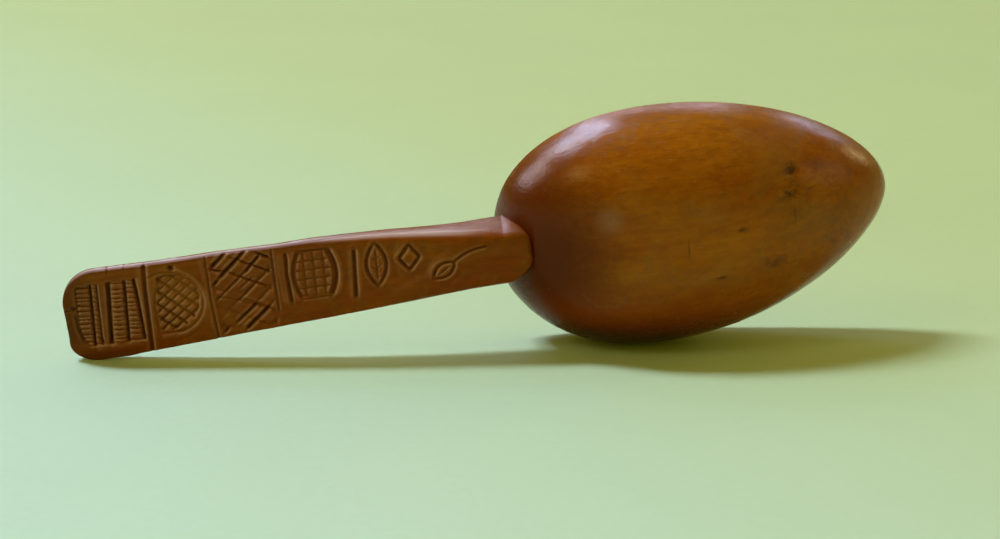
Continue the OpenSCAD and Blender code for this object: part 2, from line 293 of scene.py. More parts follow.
# long soft waves of the knife, small flats, a dent near the heel and two near the tip
back_cut = (
    0.10
    + 0.12 * unevenness(back * [0.6, 1, 1], 15, 3.1)
    + 0.035 * unevenness(back * [0.5, 1, 1], 5, 7.7)
    + 0.35 * hollow_at(back, (114.8, 11.6, 20.7), 2.6)
    + 0.16 * hollow_at(back, (163.5, 10.5, 13.4), 4.0)
    + 0.25 * hollow_at(back, (154.6, 14.2, 15.8), 1.1)
)
back = back + np.maximum(back_cut, 0)[..., None] * inward(back, *outer_size)

# gouge cuts run the length of the hollow
scallop = np.abs(np.sin(pi * (hollow[..., 1] + 0.8 * np.sin(hollow[..., 0] / 11)) / 4.2))
hollow_cut = 0.09 * scallop + 0.10 * unevenness(hollow, 12, 1.3) + 0.03 * unevenness(hollow, 4, 5.2)
hollow_cut = hollow_cut * np.minimum(1, hollow[..., 2] / 3)
hollow = hollow + hollow_cut[..., None] * inward(hollow, *inner_size)

# the rim's two edges are eased towards the middle of its wall
wall = hollow[:1, :, :] - back[:1, :, :]
wall = wall / np.linalg.norm(wall, axis=-1, keepdims=True)


def eased(rings, sign):
    height = rings[..., 2]
    pull = rim_easing - np.sqrt(np.maximum(0, rim_easing**2 - np.maximum(0, rim_easing - height) ** 2))
    return rings + sign * pull[..., None] * wall


back = eased(back, 1)
hollow = eased(hollow, -1)

bowl_points = np.concatenate(
    [
        [[centre_at, 0, bowl_depth - 0.1]],
        back[::-1].reshape(-1, 3),
        hollow.reshape(-1, 3),
        [[centre_at, 0, bowl_depth - floor_wall - 0.05]],
    ]
)


def ring_faces(ring_count, around, first=1):
    """Quads between rings that follow one another in the list of points."""
    faces = []
    for j in range(ring_count - 1):
        for i in range(around):
            k = (i + 1) % around
            a = first + j * around
            faces.append((a + i, a + k, a + around + k, a + around + i))
    return faces


def solid(name, points, faces, outward_at):
    """A closed smooth mesh in the resting pose; outward_at is a point index whose normal looks out."""
    mesh = bpy.data.meshes.new(name)
    placed_points = at_rest(points)
    placed_points[:, 2] = np.maximum(placed_points[:, 2], 0)
    mesh.from_pydata(placed_points.tolist(), [], faces)
    mesh.validate()
    mesh.shade_smooth()
    piece = bpy.data.objects.new(name, mesh)
    bpy.context.scene.collection.objects.link(piece)
    middle = Vector(at_rest(np.mean(points, axis=0)))
    vertex = mesh.vertices[outward_at]
    if vertex.normal.dot(vertex.co - middle) < 0:
        mesh.flip_normals()
    return piece


total_rings = back_rings + hollow_rings
bowl_faces = ring_faces(total_rings, bowl_around)
last_ring = 1 + (total_rings - 1) * bowl_around
last_point = len(bowl_points) - 1
for i in range(bowl_around):
    k = (i + 1) % bowl_around
    bowl_faces.append((0, 1 + k, 1 + i))
    bowl_faces.append((last_ring + i, last_ring + k, last_point))
bowl = solid("bowl_carved", bowl_points, bowl_faces, 0)


def new_group(name, takes, gives):
    """A shader node group with named sockets, given as name: (kind, value) and name: kind."""
    group = bpy.data.node_groups.new(name, "ShaderNodeTree")
    for socket, (kind, value) in takes.items():
        made = group.interface.new_socket(socket, in_out="INPUT", socket_type="NodeSocket" + kind)
        made.default_value = value
    for socket, kind in gives.items():
        group.interface.new_socket(socket, in_out="OUTPUT", socket_type="NodeSocket" + kind)
    return group, group.nodes.new("NodeGroupInput"), group.nodes.new("NodeGroupOutput")


def use_group(tree, group, **values):
    """Places a group in a tree; each value is a socket to link or a number to set."""
    node = tree.nodes.new("ShaderNodeGroup")
    node.node_tree = group
    for key, value in values.items():
        feed(tree, node.inputs[key.replace("_", " ")], value)
    return node


# the place of a point in the spoon's own frame, in millimetres, whatever its pose
spoon_place, _, gives = new_group("spoon_place", {}, {"Place": "Vector"})
where = add(spoon_place, "TexCoord").outputs["Object"]
unturn = add(
    spoon_place, "Mapping", where, vector_type="TEXTURE", Location=tuple(stance), Rotation=rest_turn
)
to_millimetres = add(spoon_place, "VectorMath", unturn.outputs[0], operation="SCALE", Scale=1000)
spoon_place.links.new(to_millimetres.outputs[0], gives.inputs["Place"])

# the wood's figure: broad soft bands, growth streaks along the spoon, and fine fibres
wood_grain, takes, gives = new_group(
    "wood_grain",
    {"Place": ("Vector", (0, 0, 0)), "Streak width": ("Float", 2.2), "Fibre width": ("Float", 0.45)},
    {"Bands": "Float", "Streaks": "Float", "Fibres": "Float"},
)


def stretched_noise(group, place, stretch, width, detail, swirl, seed=0.0):
    """Noise drawn out along the spoon; width is a number or a socket."""
    squeeze = add(group, "Mapping", place, Location=(seed, seed, seed), Scale=(1 / stretch, 1, 1))
    if not isinstance(width, bpy.types.NodeSocket):
        width = (width, width, width)
    narrow = add(group, "VectorMath", squeeze.outputs[0], width, operation="DIVIDE").outputs[0]
    cloud = add(group, "TexNoise", narrow, Scale=1, Detail=detail, Roughness=0.55, Distortion=swirl)
    return cloud.outputs[0]


place = takes.outputs["Place"]
bands = stretched_noise(wood_grain, place, 3.5, 11, 3, 0.6)
streaks = stretched_noise(wood_grain, place, 11, takes.outputs["Streak width"], 4, 0.5, 31)
fibres = stretched_noise(wood_grain, place, 34, takes.outputs["Fibre width"], 2, 0.2, 57)
wood_grain.links.new(rescale(wood_grain, bands, 0.3, 0.7), gives.inputs["Bands"])
wood_grain.links.new(rescale(wood_grain, streaks, 0.32, 0.68), gives.inputs["Streaks"])
wood_grain.links.new(fibres, gives.inputs["Fibres"])

# the old surface: dull patches where hands darkened the wax, and fine hair scratches
old_surface, takes, gives = new_group(
    "old_surface",
    {"Place": ("Vector", (0, 0, 0)), "Patch size": ("Float", 12.0)},
    {"Patches": "Float", "Mottle": "Float", "Scratches": "Float"},
)
place = takes.outputs["Place"]
patches = stretched_noise(old_surface, place, 1.3, takes.outputs["Patch size"], 4, 0.9, 11)
mottle = stretched_noise(old_surface, place, 1.6, 1.7, 5, 0.4, 23)
hairs_a = stretched_noise(old_surface, place, 0.05, 5.0, 1, 0.1, 5)
hairs_b = stretched_noise(old_surface, place, 18, 0.16, 0, 0.0, 67)
hair_band = rescale(old_surface, hairs_b, 0.70, 0.76)
hair_place = rescale(old_surface, hairs_a, 0.45, 0.6)
scratches = add(old_surface, "Math", hair_band, hair_place, operation="MULTIPLY")
old_surface.links.new(rescale(old_surface, patches, 0.42, 0.72), gives.inputs["Patches"])
old_surface.links.new(rescale(old_surface, mottle, 0.35, 0.7), gives.inputs["Mottle"])
old_surface.links.new(scratches.outputs[0], gives.inputs["Scratches"])

# one stain, knot, bruise, patch of painted shade or painted highlight at a place on the spoon, with a
# ragged soft edge
stain_and_shade_spot, takes, gives = new_group(
    "stain_and_shade_spot",
    {
        "Place": ("Vector", (0, 0, 0)),
        "Centre": ("Vector", (0, 0, 0)),
        "Reach": ("Vector", (1, 1, 1)),
        "Ragged": ("Float", 0.5),
    },
    {"Mask": "Float"},
)
place, centre, reach, ragged = (takes.outputs[name] for name in ("Place", "Centre", "Reach", "Ragged"))
offset = add(stain_and_shade_spot, "VectorMath", place, centre, operation="SUBTRACT").outputs[0]
shrunk = add(stain_and_shade_spot, "VectorMath", offset, reach, operation="DIVIDE").outputs[0]
away = add(stain_and_shade_spot, "VectorMath", shrunk, operation="LENGTH").outputs["Value"]
crumble = stretched_noise(stain_and_shade_spot, place, 1.5, 0.9, 3, 0.3, 41)
rough_edge = add(stain_and_shade_spot, "Math", crumble, ragged, away, operation="MULTIPLY_ADD")
stain_and_shade_spot.links.new(rescale(stain_and_shade_spot, rough_edge.outputs[0], 0.35, 1.35, 1, 0), gives.inputs["Mask"])


def total(tree, sockets, operation="ADD"):
    """Adds up, or joins by another sum, several value sockets."""
    result = sockets[0]
    for socket in sockets[1:]:
        result = add(tree, "Math", result, socket, operation=operation).outputs[0]
    return result


def weighted(tree, socket, weight):
    return add(tree, "Math", socket, weight, operation="MULTIPLY").outputs[0]


def surface(tree, shader, height, distance):
    """Feeds a height in to the shader's normal; distance is its real height in metres."""
    bump = add(tree, "Bump", Strength=1, Distance=distance, Height=height)
    tree.links.new(bump.outputs[0], shader.inputs["Normal"])


def old_wood(tree, grain, age, low, high, dark, wax, mottling):
    """The wood's colour from its figure, streaks and fibres, under worn wax and fine mottling."""
    figure = colour_mix(tree, grain.outputs["Bands"], low, high)
    streaks = rescale(tree, grain.outputs["Streaks"], 0, 1, 0.22, 0)
    streaked = colour_mix(tree, streaks, figure, dark)
    fibres = rescale(tree, grain.outputs["Fibres"], 0.35, 0.6, 0.12, 0)
    fibred = colour_mix(tree, fibres, streaked, dark)
    handled = colour_mix(tree, weighted(tree, age.outputs["Patches"], 0.40), fibred, wax)
    return colour_mix(tree, weighted(tree, age.outputs["Mottle"], mottling), handled, dark)


def mark_at(tree, place, centre, reach, ragged, strength):
    """How strongly one stain, mark, patch of painted shade or painted highlight shows at each point."""
    mask = use_group(tree, stain_and_shade_spot, Place=place, Centre=centre, Reach=reach, Ragged=ragged)
    return weighted(tree, mask.outputs[0], strength)


light_wood = (0.36, 0.120, 0.003, 1)
red_wood = (0.28, 0.070, 0.001, 1)
dark_wood = (0.13, 0.028, 0.001, 1)
painted_shade_deep_red = (0.085, 0.012, 0.0003, 1)
painted_shade_low_red = (0.21, 0.030, 0.0005, 1)
painted_contact_shade = (0.035, 0.005, 0.0003, 1)
bruise = (0.070, 0.018, 0.002, 1)
dull_grey = (0.155, 0.090, 0.032, 1)
painted_sheen_bloom = (0.25, 0.125, 0.080, 1)
grime_and_shade = (0.030, 0.009, 0.002, 1)
dull_wax = (0.22, 0.112, 0.018, 1)
scuffed = (0.46, 0.24, 0.09, 1)

bowl_material, tree, shader = new_material("waxed_fruitwood")
place = use_group(tree, spoon_place).outputs[0]
grain = use_group(tree, wood_grain, Place=place)
age = use_group(tree, old_surface, Place=place)
mottled = old_wood(tree, grain, age, red_wood, light_wood, dark_wood, dull_wax, 0.34)
scratched = colour_mix(tree, weighted(tree, age.outputs["Scratches"], 0.30), mottled, scuffed)

# the heel and lower side darkened as painted shade, painted shade where the bowl meets the table, a painted
# highlight by the dent near the heel, the dull tip, and the knots, cracks and bruises in their places
stains_and_painted_light = [
    # painted shade: the heel darkened and reddened as if in shade
    ((96, 0, 11), (26, 31, 27), 0.25, 1.0, painted_shade_deep_red),
    ((99, 4, 13), (18, 22, 21), 0.25, 0.80, painted_shade_deep_red),
    # painted shade: the lower side of the back darkened and reddened
    ((124, -17, 17), (40, 14, 14), 0.4, 0.95, painted_shade_low_red),
    # painted shade: the darkening where the bowl's lower side meets the table
    ((114, -21, 15), (34, 10.5, 13), 0.3, 0.95, painted_contact_shade),
    ((162, 3, 15), (22, 17, 15), 1.8, 0.85, dull_grey),
    # painted highlight: a pale soft sheen round the dent near the heel
    ((114.8, 11.4, 20.7), (3.6, 3.8, 3.4), 0.5, 0.55, painted_sheen_bloom),
    ((153, 8, 18), (10, 8, 6), 1.2, 0.45, bruise),
    ((164, -3, 14), (9, 9, 8), 1.5, 0.60, bruise),
    ((168, 2, 13), (13, 14, 11), 0.9, 0.45, dark_wood),
    ((149.6, -3.9, 20.6), (8.0, 4.2, 4.5), 1.3, 0.90, bruise),
    ((160, 14, 13), (7, 5, 5), 1.2, 0.55, bruise),
    ((155.2, 12.2, 17.2), (5.5, 4.5, 4), 1.3, 0.55, bruise),
]
small_marks = [
    ((154.6, 14.6, 15.7), (2.6, 2.9, 2.4), 0.9, 1.0),
    ((153.6, 10.4, 18.2), (3.2, 1.4, 1.7), 1.0, 0.95),
    ((158.2, 10.0, 16.4), (2.0, 0.35, 1.4), 0.5, 0.5),
    ((115.0, 11.9, 20.7), (0.5, 1.3, 0.7), 0.6, 0.85),
    ((131.4, 13.2, 21.7), (0.7, 0.9, 0.8), 0.8, 0.5),
    ((142.2, 5.7, 22.0), (2.0, 1.1, 1.0), 0.9, 0.8),
    ((137.6, -4.6, 22.9), (2.2, 0.7, 0.9), 0.8, 0.75),
    ((139.2, -9.9, 21.9), (0.6, 1.0, 0.7), 0.7, 0.6),
    ((130.6, 3.6, 23.2), (0.28, 2.6, 0.6), 0.3, 0.55),
    ((109.9, -6.0, 20.0), (0.9, 0.6, 0.8), 0.7, 0.5),
    ((154.4, 5.0, 19.0), (0.3, 4.0, 1.2), 0.4, 0.40),
]
stained_and_shaded = scratched
for centre, reach, ragged, strength, colour in stains_and_painted_light:
    mark = mark_at(tree, place, centre, reach, ragged, strength)
    stained_and_shaded = colour_mix(tree, mark, stained_and_shaded, colour)
pits = []
for small_mark in small_marks:
    pits.append(mark_at(tree, place, *small_mark))
    stained_and_shaded = colour_mix(tree, pits[-1], stained_and_shaded, grime_and_shade)
tree.links.new(stained_and_shaded, shader.inputs["Base Color"])

pitted = total(tree, pits, "MAXIMUM")
gloss = total(
    tree,
    [
        rescale(tree, age.outputs["Patches"], 0, 1, 0.17, 0.28),
        weighted(tree, age.outputs["Mottle"], 0.07),
        weighted(tree, pitted, 0.3),
    ],
)
tree.links.new(gloss, shader.inputs["Roughness"])
shader.inputs["Specular IOR Level"].default_value = 0.20
shader.inputs["Specular Tint"].default_value = (1.0, 0.80, 0.40, 1)
height = total(
    tree,
    [
        weighted(tree, grain.outputs["Fibres"], 0.5),
        weighted(tree, grain.outputs["Streaks"], 0.15),
        weighted(tree, age.outputs["Mottle"], -0.12),
        weighted(tree, age.outputs["Scratches"], -0.25),
        weighted(tree, pitted, -1.5),
    ],
)
surface(tree, shader, height, 0.00008)
bowl.data.materials.append(bowl_material)
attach(bowl, "root")
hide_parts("bowl")


# The handle
# A flat tapering grip, thin at its rounded end and deep at the neck, whose tongue runs out on
# the bowl's back. Its face is cut with a knife: ladders of beads, an arch and a lattice of
# lozenges, a barrel, a bar, leaves and a lozenge, all worn round by handling.

handle_length = 99.27
neck_at = 93.75
end_half, neck_half, neck_rise = 10.9, 6.0, 0.6
upper_corner, lower_corner = 8.0, 6.5
draw_in_from, draw_in_ease = 52.0, 1.4
tongue_lift, tongue_blunt = 1.4, 0.6
end_thickness, neck_thickness, neck_flare = 2.7, 10.2, 4.5
face_rise = radians(-4.16)
handle_lean = radians(1.5)
handle_start = (0, -0.992, 7.0)


def past_neck(x):
    return np.clip((x - neck_at) / (handle_length + tongue_blunt - neck_at), 0, 1)


def corner_loss(x, corner):
    """What the outer end's rounded corner takes off an edge of the face."""
    return corner - np.sqrt(corner**2 - np.clip(corner - x, 0, corner) ** 2)


# small departures from the plain edges, as the knife left them
upper_more = [(10, 0), (22, -0.15), (35, 0.1), (47, -0.1), (60, 0.2), (70, 0.25), (85, -0.1), (92, 0)]
lower_more = [(8, 0), (11.5, 0.25), (15, 0.05), (22, 0.1), (40, -0.05), (54, 0), (66, 0.1), (88, 0)]


def side(x, rise, lift, drawn_from, ease, corner, more):
    """How far the face reaches to one side of its middle line at x."""
    drawn_in = np.clip((x - drawn_from) / (neck_at - drawn_from), 0, 1) ** ease
    straight = end_half - (end_half - neck_half - rise) * drawn_in
    tongue = rise + lift * past_neck(x) + neck_half * np.sqrt(1 - past_neck(x) ** 2)
    edge = np.where(x < neck_at, straight, tongue) - corner_loss(x, corner)
    return edge + np.interp(x, *zip(*more))


def upper_side(x):
    return side(x, neck_rise, tongue_lift, draw_in_from, draw_in_ease, upper_corner, upper_more)


def lower_side(x):
    return side(x, -neck_rise, -tongue_lift, 0, 1, lower_corner, lower_more)


# stations along the handle, close together where its ends round off
end_steps = np.array([0, 0.015, 0.05, 0.11, 0.19, 0.3, 0.45, 0.63])
near_tongue = handle_length - np.array([0.75, 0.5, 0.3, 0.15, 0.05, 0])
station_step = 0.17
along_grip = np.arange(0.85, handle_length - 0.9, station_step)
stations = np.concatenate([end_steps, along_grip, near_tongue])

face_columns = 160
column_step = 0.136
back_columns = 40
wall_rows = 7


def columns(count, crowding):
    """Shares from 1 to -1 across the handle, crowded towards both edges."""
    even = np.linspace(1, -1, count)
    return (1 - crowding) * even + crowding * np.sin(even * pi / 2)


def slanted_end(x, y):
    """The outer end isn't quite square: its lower corner reaches further than its middle."""
    low = np.clip((-2 - y) / 7, 0, 1)
    return x + (0.3 - 1.1 * low * low * (3 - 2 * low)) * np.clip(1 - x / 10, 0, 1) ** 2


def spread_across(count, crowding):
    """x and y of a grid over the face's outline."""
    share = columns(count, crowding)[None, :]
    up, down = upper_side(stations)[:, None], lower_side(stations)[:, None]
    middle, half = (up - down) / 2, (up + down) / 2
    y = middle + half * share
    return slanted_end(stations[:, None] + 0 * y, y), y


outline_y = np.concatenate([upper_side(stations), -lower_side(stations[::-1])])
outline_x = slanted_end(np.concatenate([stations, stations[::-1]]), outline_y)


def along_path(x, y, path):
    """Distance from each point to a path of straight pieces, and how far along the path it lies."""
    nearest = np.full(np.shape(x), 1e9)
    run_at_nearest = np.zeros(np.shape(x))
    run = 0.0
    for (x0, y0), (x1, y1) in zip(path[:-1], path[1:]):
        dx, dy = x1 - x0, y1 - y0
        length = max(hypot(dx, dy), 1e-9)
        share = np.clip(((x - x0) * dx + (y - y0) * dy) / length**2, 0, 1)
        away = np.hypot(x - x0 - share * dx, y - y0 - share * dy)
        closer = away < nearest
        nearest = np.where(closer, away, nearest)
        run_at_nearest = np.where(closer, run + share * length, run_at_nearest)
        run += length
    return nearest, run_at_nearest, run


def from_edge(x, y):
    """Distance of points of the face from its outline."""
    outline = list(zip(outline_x, outline_y)) + [(outline_x[0], outline_y[0])]
    nearest = np.full(np.shape(x), 1e9)
    for (x0, y0), (x1, y1) in zip(outline[:-1], outline[1:]):
        length_squared = (x1 - x0) ** 2 + (y1 - y0) ** 2
        if length_squared < 1e-12:
            continue
        share = np.clip(((x - x0) * (x1 - x0) + (y - y0) * (y1 - y0)) / length_squared, 0, 1)
        nearest = np.minimum(nearest, np.hypot(x - x0 - share * (x1 - x0), y - y0 - share * (y1 - y0)))
    return nearest


def smooth(value):
    value = np.clip(value, 0, 1)
    return value * value * (3 - 2 * value)


class Carving:
    """The carved face: how deep it is cut at each point, and how much dirt and painted shade darken the
    cuts.
    """

    def __init__(self, x, y):
        self.x, self.y = x, y
        self.height = np.zeros(x.shape)
        self.dirt_and_shade = np.zeros(x.shape)

    def cut(self, path, wide, deep, burr=0.12, dark=1.0, run_out=0.9):
        """A V cut along a path, with a worn burr beside it, shallower at its ends."""
        away, run, length = along_path(self.x, self.y, path)
        fade = 0.25 + 0.75 * smooth(np.minimum(run, length - run) / run_out)
        v = np.clip(1 - away / wide, 0, 1) ** 1.2
        ridge = np.exp(-(((away - wide * 1.25) / (wide * 0.6)) ** 2))
        self.height += fade * (burr * deep * ridge - deep * v)
        self.dirt_and_shade = np.maximum(self.dirt_and_shade, dark * fade * np.clip(1.15 - away / (wide * 0.75), 0, 1))

    def ridge(self, path, wide, high):
        away, run, length = along_path(self.x, self.y, path)
        fade = smooth(np.minimum(run, length - run) / 1.2)
        self.height += high * fade * np.exp(-((away / wide) ** 2))

    def sink(self, share, deep):
        """Lowers the ground where share is 1."""
        self.height -= deep * share

    def pillows(self, share, u, v, high, plump=2.6):
        """Rounded cushions between the whole-number lines of u and v, with dirt and painted shade in the
        lines.
        """
        across_u = np.abs(2 * (u - np.floor(u)) - 1)
        across_v = np.abs(2 * (v - np.floor(v)) - 1)
        round_off = (1 - across_u**plump) * (1 - across_v**plump)
        self.height += share * high * np.maximum(round_off, 0) ** 0.6
        line = 1 - np.maximum(across_u, across_v)
        self.dirt_and_shade = np.maximum(self.dirt_and_shade, 0.5 * share * np.clip(1 - line / 0.20, 0, 1))

    def beads(self, share, across, count, high):
        """A column of plump beads, one for each whole number of count."""
        along = np.abs(2 * (count - np.floor(count)) - 1)
        ends = np.clip(np.abs(2 * across - 1), 0, 1)
        self.height += share * high * np.sqrt(np.maximum(1 - along**2.4, 0)) * (1 - ends**4)
        self.dirt_and_shade = np.maximum(self.dirt_and_shade, 0.15 * share * np.clip(1 - (1 - along) / 0.30, 0, 1))

    def pit(self, centre, wide, deep):
        away = np.hypot((self.x - centre[0]) / wide, (self.y - centre[1]) / wide)
        self.height -= deep * np.exp(-(away**2))
        self.dirt_and_shade = np.maximum(self.dirt_and_shade, np.exp(-(away**4)))


def arc(centre, reach_x, reach_y, start, end, steps=28):
    """Points of an arc of an ellipse, from one angle to another in degrees."""
    turns = np.radians(np.linspace(start, end, steps))
    return [(centre[0] + reach_x * cos(t), centre[1] + reach_y * sin(t)) for t in turns]


def bow(start, end, bulge, steps=18):
    """A curved stroke from start to end that stands off the straight by bulge to its left."""
    x0, y0 = start
    dx, dy = end[0] - x0, end[1] - y0
    length = hypot(dx, dy)
    points = []
    for s in np.linspace(0, 1, steps):
        off = bulge * 4 * s * (1 - s) / length
        points.append((x0 + dx * s - dy * off, y0 + dy * s + dx * off))
    return points


def carve_ladders(face):
    """Four columns of beads in a sunken field, with a plain bar between the second and the third."""
    x, y = face.x, face.y
    left = np.interp(y, [-6.6, -5.2, -2.5, 1.9, 7.1, 8.4], [3.7, 3.0, 2.5, 2.7, 3.3, 3.9])
    grooves = [5.95 + 0.12 * y, 9.6 + 0.14 * y, 13.1 + 0.12 * y]
    narrow = 7.35 + 0.10 * y
    right = 16.0 + 0.02 * y
    inside = smooth((x - left) / 0.6) * smooth((right + 0.4 - x) / 0.5)
    inside = inside * smooth((8.4 - y) / 0.9) * smooth((y + 7.0) / 0.5)
    face.sink(inside, 0.70)
    bead_pitch = 1.10
    bead = (y + 6.9) / bead_pitch
    for low, high, shift, rise in (
        (left + 0.1, grooves[0] - 0.1, 0.0, 0.66),
        (grooves[0] + 0.15, narrow, 0.35, 0.48),
        (grooves[1] + 0.2, grooves[2] - 0.1, 0.15, 0.70),
        (grooves[2] + 0.15, right - 0.2, 0.4, 0.66),
    ):
        share = (x - low) / (high - low)
        within = inside * ((share > 0) & (share < 1))
        sway = 0.16 * np.sin(1.3 * y + 9 * shift) + 0.10 * np.sin(2.9 * y + 20 * shift)
        slant = 0.25 * (share - 0.5) + sway
        face.beads(within, share, bead + shift + slant, rise)
    strip = smooth((x - narrow) / 0.4) * smooth((grooves[1] - 0.3 - x) / 0.5) * inside
    face.height += 0.55 * strip
    for rule_x, wide, deep in ((5.95, 0.38, 0.30), (9.6, 0.46, 0.42), (13.1, 0.36, 0.30)):
        lean = 0.14 if rule_x == 9.6 else 0.12
        path = [(rule_x + lean * t, t) for t in (-6.9, -2, 3, 7.6)]
        face.cut(path, wide, deep, dark=0.8)
    face.cut([(2.6, 1.5), (2.5, -2.0), (3.1, -5.6)], 0.5, 0.35)
    face.cut([(6.6, -5.0), (7.3, -6.6)], 0.5, 0.4)
    face.ridge([(5.0, -7.8), (10.4, -8.0), (15.8, -7.8)], 0.7, 0.22)
    face.ridge([(2.0, 7.0), (5.0, 9.2), (10.0, 9.6), (15.5, 9.4)], 0.7, 0.10)
    # a long thin leaf that closes the panel, and the deep rule beyond it
    face.cut([(16.0, 8.0), (16.2, 3.0), (16.0, -2.0), (15.9, -6.6)], 0.42, 0.30, dark=0.8)
    face.ridge([(16.9, 8.6), (17.2, 3.0), (16.8, -2.0), (16.2, -6.4)], 0.45, 0.24)
    face.cut([(18.75, 12.0), (17.9, 4.9), (17.3, -2.4), (16.6, -11.5)], 0.75, 0.60, run_out=0.1)
    face.pit((2.6, 2.8), 0.5, 0.6)
    face.cut([(-0.5, 2.3), (2.4, 2.7)], 0.22, 0.15)


def carve_arch(face):
    """A round-headed arch, lying on its side, packed with plump lozenges."""
    x, y = face.x, face.y
    head_x, head_y, wide, high = 22.3, 1.3, 6.9, 7.1
    round_share = np.hypot((x - head_x - 0.1 * (y - head_y)) / wide, (y - head_y) / high)
    foot = 19.4 + 0.16 * np.maximum(0, y - 1)
    inside = smooth((1 - round_share) * wide / 0.8) * smooth((x - foot) / 0.7)
    inside = inside * smooth((y + 6.0) / 0.6)
    face.sink(inside, 0.75)
    # steps of the lattice, down to the right and up to the right
    step_a, step_b = (1.22, -1.28), (1.92, 1.42)
    area = step_a[0] * step_b[1] - step_a[1] * step_b[0]
    dx, dy = x - 21.2, y - 1.6
    u = (dx * step_b[1] - dy * step_b[0]) / area + 0.5
    v = (step_a[0] * dy - step_a[1] * dx) / area + 0.5
    plump = 0.36 + 0.50 * smooth((31 - x - 0.8 * y) / 11)
    face.pillows(inside, u, v, plump, 2.2)
    face.cut(arc((22.2, 1.3), 7.1, 7.3, -88, 118), 0.5, 0.16, burr=0.3, dark=0.3)
    face.ridge(arc((22.2, 1.3), 8.0, 8.1, -80, 70), 0.5, 0.20)
    face.ridge([(19.0, -6.9), (23.0, -7.0), (26.0, -6.2)], 0.5, 0.20)
    face.cut([(21.2, 6.6), (19.9, 4.1), (19.2, 0.6), (19.1, -5.6)], 0.5, 0.2, dark=0.35)
    face.cut([(19.3, -5.9), (24.3, -5.8)], 0.45, 0.2, dark=0.35)
    face.pit((24.1, 9.4), 0.62, 0.7)
    face.cut([(23.6, 9.9), (24.4, 8.9)], 0.35, 0.3)


def carve_lattice(face):
    """A wide lattice over the whole width, its cuts deep at two corners and worn between."""
    x, y = face.x, face.y
    rising = [18.6, 23.4, 27.7, 32.1, 37.0, 41.9, 45.7, 50.5]
    falling = [14.5, 19.0, 23.4, 28.9, 32.9, 36.4, 41.0]
    u = np.interp(x - 1.1 * y, rising, range(len(rising)))
    v = np.interp(y + 0.62 * x, falling, range(len(falling)))
    inside = smooth((x - 31.6) / 0.8) * smooth((44.6 + 0.03 * y - x) / 0.8)
    inside = inside * smooth((10.3 - y) / 1.2) * smooth((y + 8.0) / 1.5)
    worn = 0.20 + 0.26 * smooth((x - 34) / 8)
    face.sink(inside, 0.34)
    face.pillows(inside, u, v, worn, 2.4)
    deep_cuts = [
        [(36.9, 12.3), (32.1, 7.9)],
        [(41.0, 12.2), (33.6, 5.4)],
        [(42.9, -2.8), (37.1, -7.6)],
    ]
    middling = [
        [(32.0, 7.9), (34.6, 6.7)],
        [(42.9, 9.8), (38.9, 5.9)],
        [(42.0, 10.5), (44.8, 8.6)],
        [(40.5, -1.6), (35.5, -5.7)],
        [(33.8, -6.5), (32.2, -7.9)],
        [(33.4, 5.2), (31.9, 3.7)],
    ]
    light = [
        [(38.9, 5.9), (31.8, 0.0)],
        [(45.0, 6.6), (41.8, 4.0), (36.4, -0.8)],
        [(35.9, 10.7), (38.7, 8.8), (42.7, 6.4), (44.7, 5.1)],
        [(35.6, 6.7), (39.0, 4.4), (42.8, 2.4)],
        [(38.6, 11.9), (42.0, 10.5)],
        [(37.4, 2.4), (40.8, 4.9)],
    ]
    for path in deep_cuts:
        face.cut(path, 0.6, 0.85, burr=0.2)
    for path in middling:
        face.cut(path, 0.5, 0.55, burr=0.2)
    for path in light:
        face.cut(path, 0.42, 0.24, burr=0.25, dark=0.5)
    face.ridge([(32.0, 2.4), (36.7, 0.9), (43.4, -2.2)], 0.6, 0.22)
    face.cut([(32.0, 1.2), (36.7, -0.3), (43.0, -3.4)], 0.4, 0.15, dark=0.3)
    # its side borders
    face.cut([(31.5, 12.0), (31.3, 6.9), (31.0, 1.0), (31.1, -9.6)], 0.40, 0.26, run_out=0.3)
    face.ridge([(30.3, 10.8), (30.6, 6.9), (30.4, 1.0), (30.4, -7.0)], 0.4, 0.12)
    face.cut([(45.3, 11.0), (44.9, 3.2), (44.7, -4.5)], 0.42, 0.30)
    face.ridge([(46.7, 9.6), (46.4, 3.0), (46.5, -3.2)], 0.55, 0.20)
    face.pit((31.2, -8.9), 0.5, 0.5)


